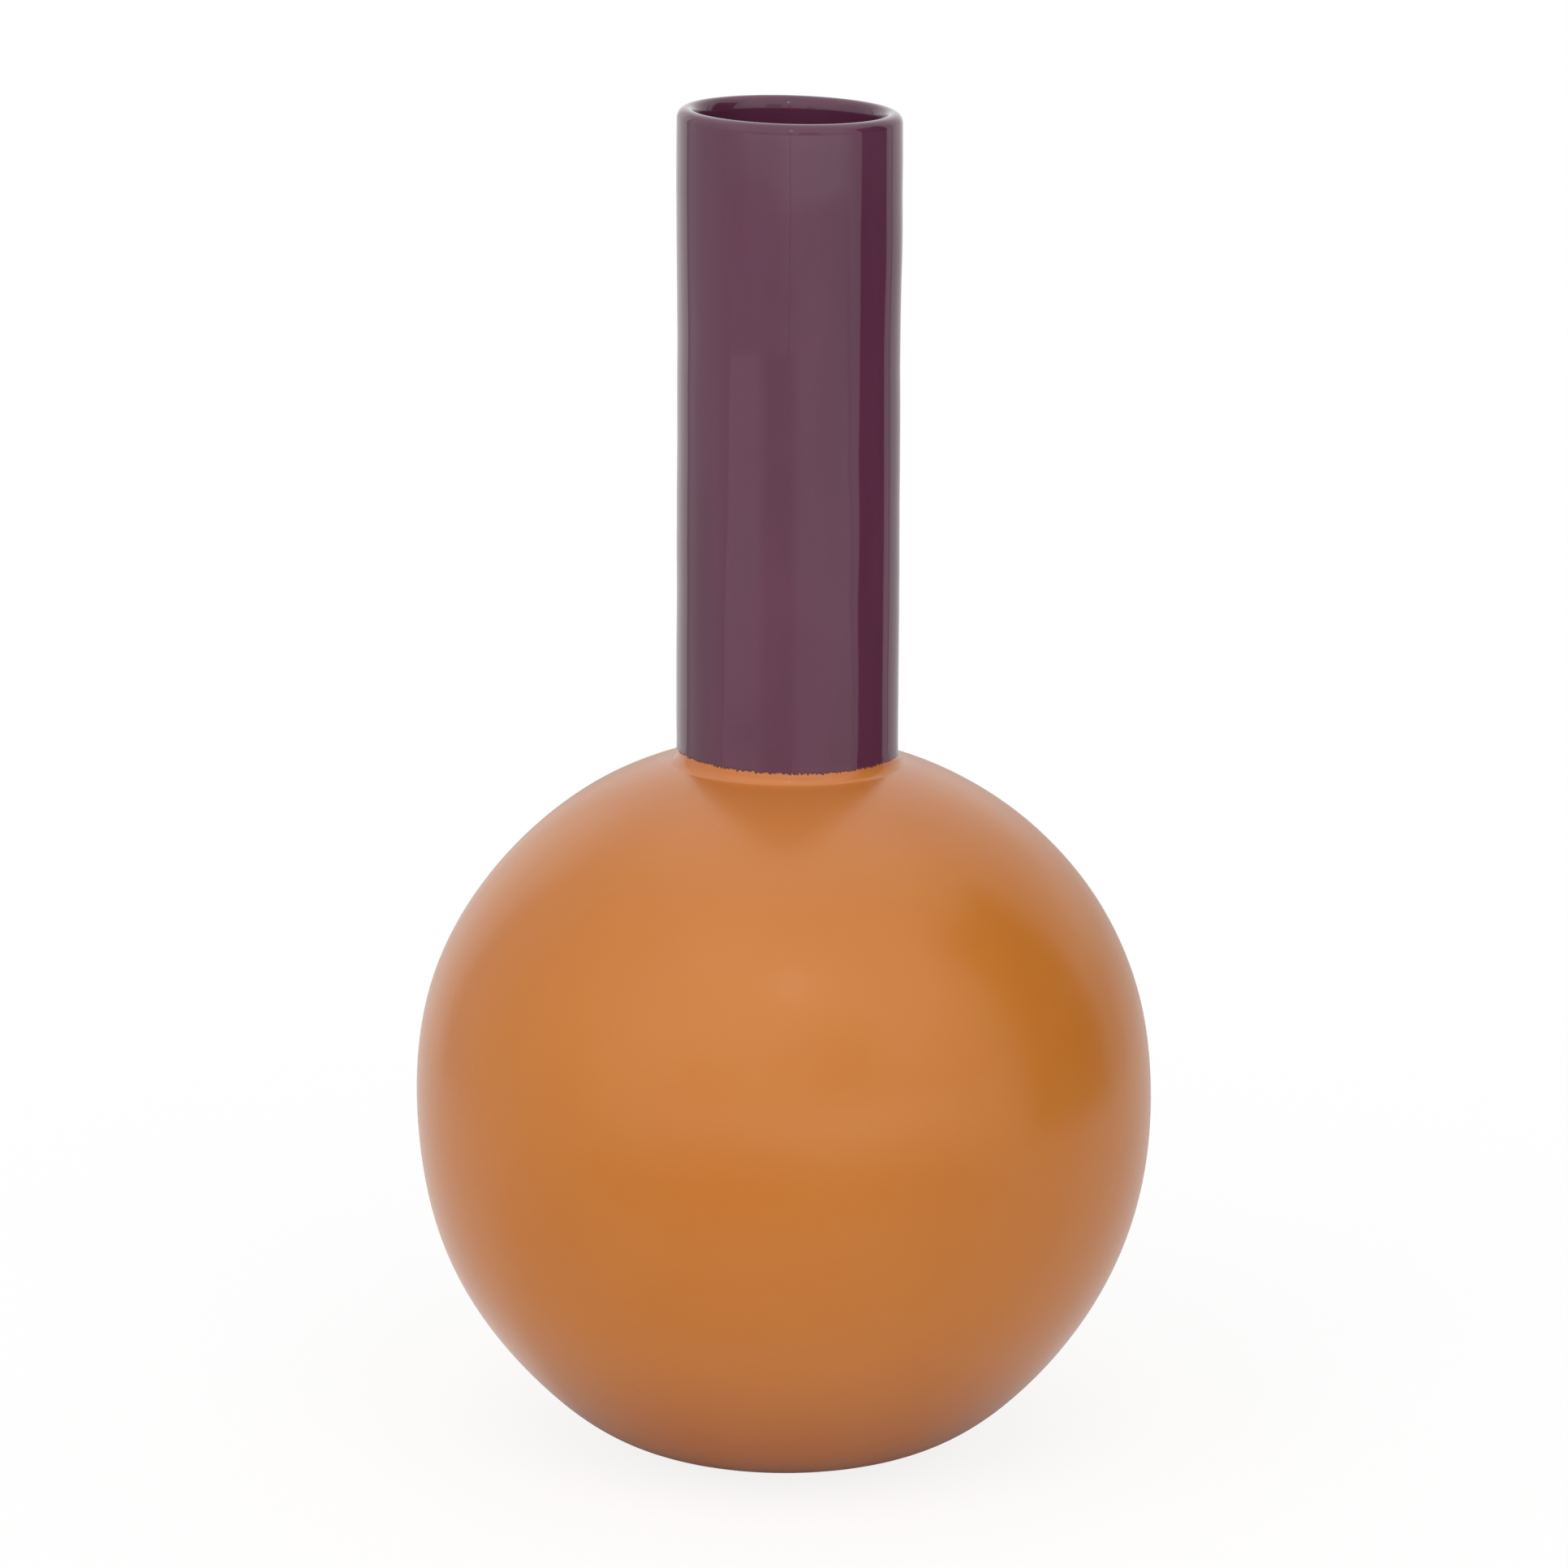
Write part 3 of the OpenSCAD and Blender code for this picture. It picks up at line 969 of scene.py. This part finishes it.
def screen_light(name, base, bands, flat=False):
    """What a sheet of the studio sends to the gloss: its base light, changed by each of its bands.

    The base runs smoothly from its third number to its fourth as the height over the floor goes
    from its first to its second. A band multiplies the light by its last number. It acts where the
    angle of a point round the axis, in degrees to the right of the camera, is nearer to its middle
    than half its width, and where the height is between its lowest and its highest, with soft
    edges. On a flat sheet, the distance from the axis takes the place of the height.
    """
    material = bpy.data.materials.new(name)
    tree = new_tree(material)
    place = add_node(tree, "TexCoord").outputs["Object"]
    axes = add_node(tree, "SeparateXYZ", [place]).outputs
    ahead = add_node(tree, "Math", (axes["Y"], -1.0), operation="MULTIPLY")
    angle = add_node(tree, "Math", (axes["X"], ahead), operation="ARCTAN2")
    along = add_node(tree, "VectorMath", [place], operation="LENGTH") if flat else axes["Z"]
    level = add_node(tree, "MapRange", (along, *base), **SMOOTH)
    for middle, half, soft, low, high, soft_along, bright in bands:
        off = add_node(tree, "Math", (angle, math.radians(middle)), operation="SUBTRACT")
        off = add_node(tree, "Math", (off, math.pi, -math.pi), operation="WRAP")
        off = add_node(tree, "Math", [off], operation="ABSOLUTE")
        near, far = math.radians(half - soft / 2), math.radians(half + soft / 2)
        change = add_node(tree, "MapRange", (off, near, far, bright - 1.0, 0.0), **SMOOTH)
        for edge, start, end in ((low, 0.0, 1.0), (high, 1.0, 0.0)):
            fades = (edge - soft_along / 2, edge + soft_along / 2)
            inside = add_node(tree, "MapRange", (along, *fades, start, end), **SMOOTH)
            change = add_node(tree, "Math", (change, inside), operation="MULTIPLY")
        change = add_node(tree, "Math", (change, 1.0), operation="ADD")
        level = add_node(tree, "Math", (level, change), operation="MULTIPLY")
    glow = add_node(tree, "Emission", {"Color": WHITE, "Strength": level})
    add_node(tree, "OutputMaterial", {"Surface": glow})
    return material


def stage_sheet(name, points, material):
    """An open sheet on a grid of points, rows by columns."""
    rows, columns = points.shape[:2]
    grid = np.arange(rows * columns).reshape(rows, columns)
    quads = np.stack([grid[:-1, :-1], grid[:-1, 1:], grid[1:, 1:], grid[1:, :-1]], axis=-1)
    mesh = bpy.data.meshes.new(name)
    mesh.from_pydata(points.reshape(-1, 3).tolist(), [], quads.reshape(-1, 4).tolist())
    mesh.materials.append(material)
    sheet = bpy.data.objects.new(name, mesh)
    bpy.context.scene.collection.objects.link(sheet)
    return sheet


def paper_floor(stage):
    """The square sheet of paper that the vase stands on."""
    ends = [-stage.floor_half, stage.floor_half]
    x, y = np.meshgrid(ends, ends)
    points = np.stack([x, y, np.full_like(x, -FLOOR_GAP)], axis=-1)
    stage_sheet("floor", points, white_paper(stage))


def mirrored_studio(stage):
    """The wall of screens with its ceiling, and the floor in it, as only the gloss sees them.

    Both are turned round the axis. Their distance runs from the near one to the far one with a
    smooth step of the cosine of the angle from the camera, so that the screens stand far in front.
    """
    angles = np.linspace(-math.pi, math.pi, 361)
    ahead = eased(np.cos(angles), *AHEAD)
    distance = stage.screen_near + (stage.screen_far - stage.screen_near) * ahead
    wall = np.array([(1.0, 0.0), (1.0, stage.screen_height), (0.0, stage.screen_height)])
    sheet = np.array([(0.0, FLOOR_GAP), (1.0, FLOOR_GAP)])
    wall_light = screen_light("screen_light", WALL_BASE, WALL_BANDS)
    sheet_light = screen_light("mirrored_floor_light", FLOOR_BASE_PAINTED_SHADOW, FLOOR_BANDS, flat=True)
    sheets = (("screens", wall, wall_light), ("mirrored_floor", sheet, sheet_light))
    for name, section, light in sheets:
        sections = spread(section, angles.size)
        sections[..., 0] *= distance
        made = stage_sheet(name, turned(sections, angles), light)
        for ray in ("camera", "diffuse", "transmission", "volume_scatter", "shadow"):
            setattr(made, f"visible_{ray}", False)


def front_light(stage):
    """A wide soft lamp over the camera, which the gloss doesn't see."""
    lamp = bpy.data.lights.new("front_light", "SUN")
    lamp.energy = math.pi * stage.front
    lamp.angle = stage.front_soft
    front = bpy.data.objects.new("front_light", lamp)
    front.rotation_euler = (math.pi / 2 - stage.front_high, 0.0, -stage.front_side)
    front.visible_glossy = False
    bpy.context.scene.collection.objects.link(front)


def photo_camera(stage):
    """The camera, at its distance from the point that it looks at, pitched down and rolled."""
    eye = bpy.data.cameras.new("camera")
    eye.sensor_width = 36.0
    eye.lens = stage.lens
    camera = bpy.data.objects.new("camera", eye)
    back = Vector((0.0, -math.cos(stage.pitch), math.sin(stage.pitch)))
    aim = Vector((stage.aim_side, 0.0, stage.aim_height))
    down = Matrix.Rotation(math.pi / 2 - stage.pitch, 4, "X")
    rolled = down @ Matrix.Rotation(stage.roll, 4, "Z")
    camera.matrix_world = Matrix.Translation(aim + stage.distance * back) @ rolled
    bpy.context.scene.collection.objects.link(camera)
    bpy.context.scene.camera = camera


class VASE_OT_stage(bpy.types.Operator):
    """Make the sky, the floor, the mirrored studio, the lamp and the camera"""

    bl_idname = "vase.stage"
    bl_label = "Stage"

    def execute(self, context):
        context.scene.view_settings.view_transform = "Standard"
        for make in (white_sky, paper_floor, mirrored_studio, front_light, photo_camera):
            make(context.scene.vase_stage)
        return {"FINISHED"}


# Add-on


class VASE_PT_panel(bpy.types.Panel):
    """The vase's pieces and their settings"""

    bl_label = "Two-tone vase"
    bl_space_type = "VIEW_3D"
    bl_region_type = "UI"
    bl_category = "Vase"

    def draw(self, context):
        for operator in OPERATORS:
            self.layout.operator(operator.bl_idname)
        for name, group in GROUPS.items():
            box = self.layout.box()
            for setting in group.__annotations__:
                box.prop(getattr(context.scene, name), setting)


GROUPS = {
    "vase_shape": VaseShape,
    "vase_making": VaseMaking,
    "vase_colours": VaseColours,
    "vase_stage": VaseStage,
}
OPERATORS = (
    VASE_OT_ball_clay,
    VASE_OT_neck_clay,
    VASE_OT_slip,
    VASE_OT_ball_coat,
    VASE_OT_neck_coat,
    VASE_OT_liner,
    VASE_OT_stage,
)


def register():
    for made in (*GROUPS.values(), *OPERATORS, VASE_PT_panel):
        bpy.utils.register_class(made)
    for name, group in GROUPS.items():
        setattr(bpy.types.Scene, name, PointerProperty(type=group))


def unregister():
    for name in GROUPS:
        delattr(bpy.types.Scene, name)
    for made in reversed((*GROUPS.values(), *OPERATORS, VASE_PT_panel)):
        bpy.utils.unregister_class(made)


def main():
    register()
    bpy.ops.vase.ball_clay()
    bpy.ops.vase.neck_clay()
    bpy.ops.vase.slip()
    bpy.ops.vase.ball_coat()
    bpy.ops.vase.neck_coat()
    bpy.ops.vase.liner()
    bpy.ops.vase.stage()


if __name__ == "__main__":
    main()
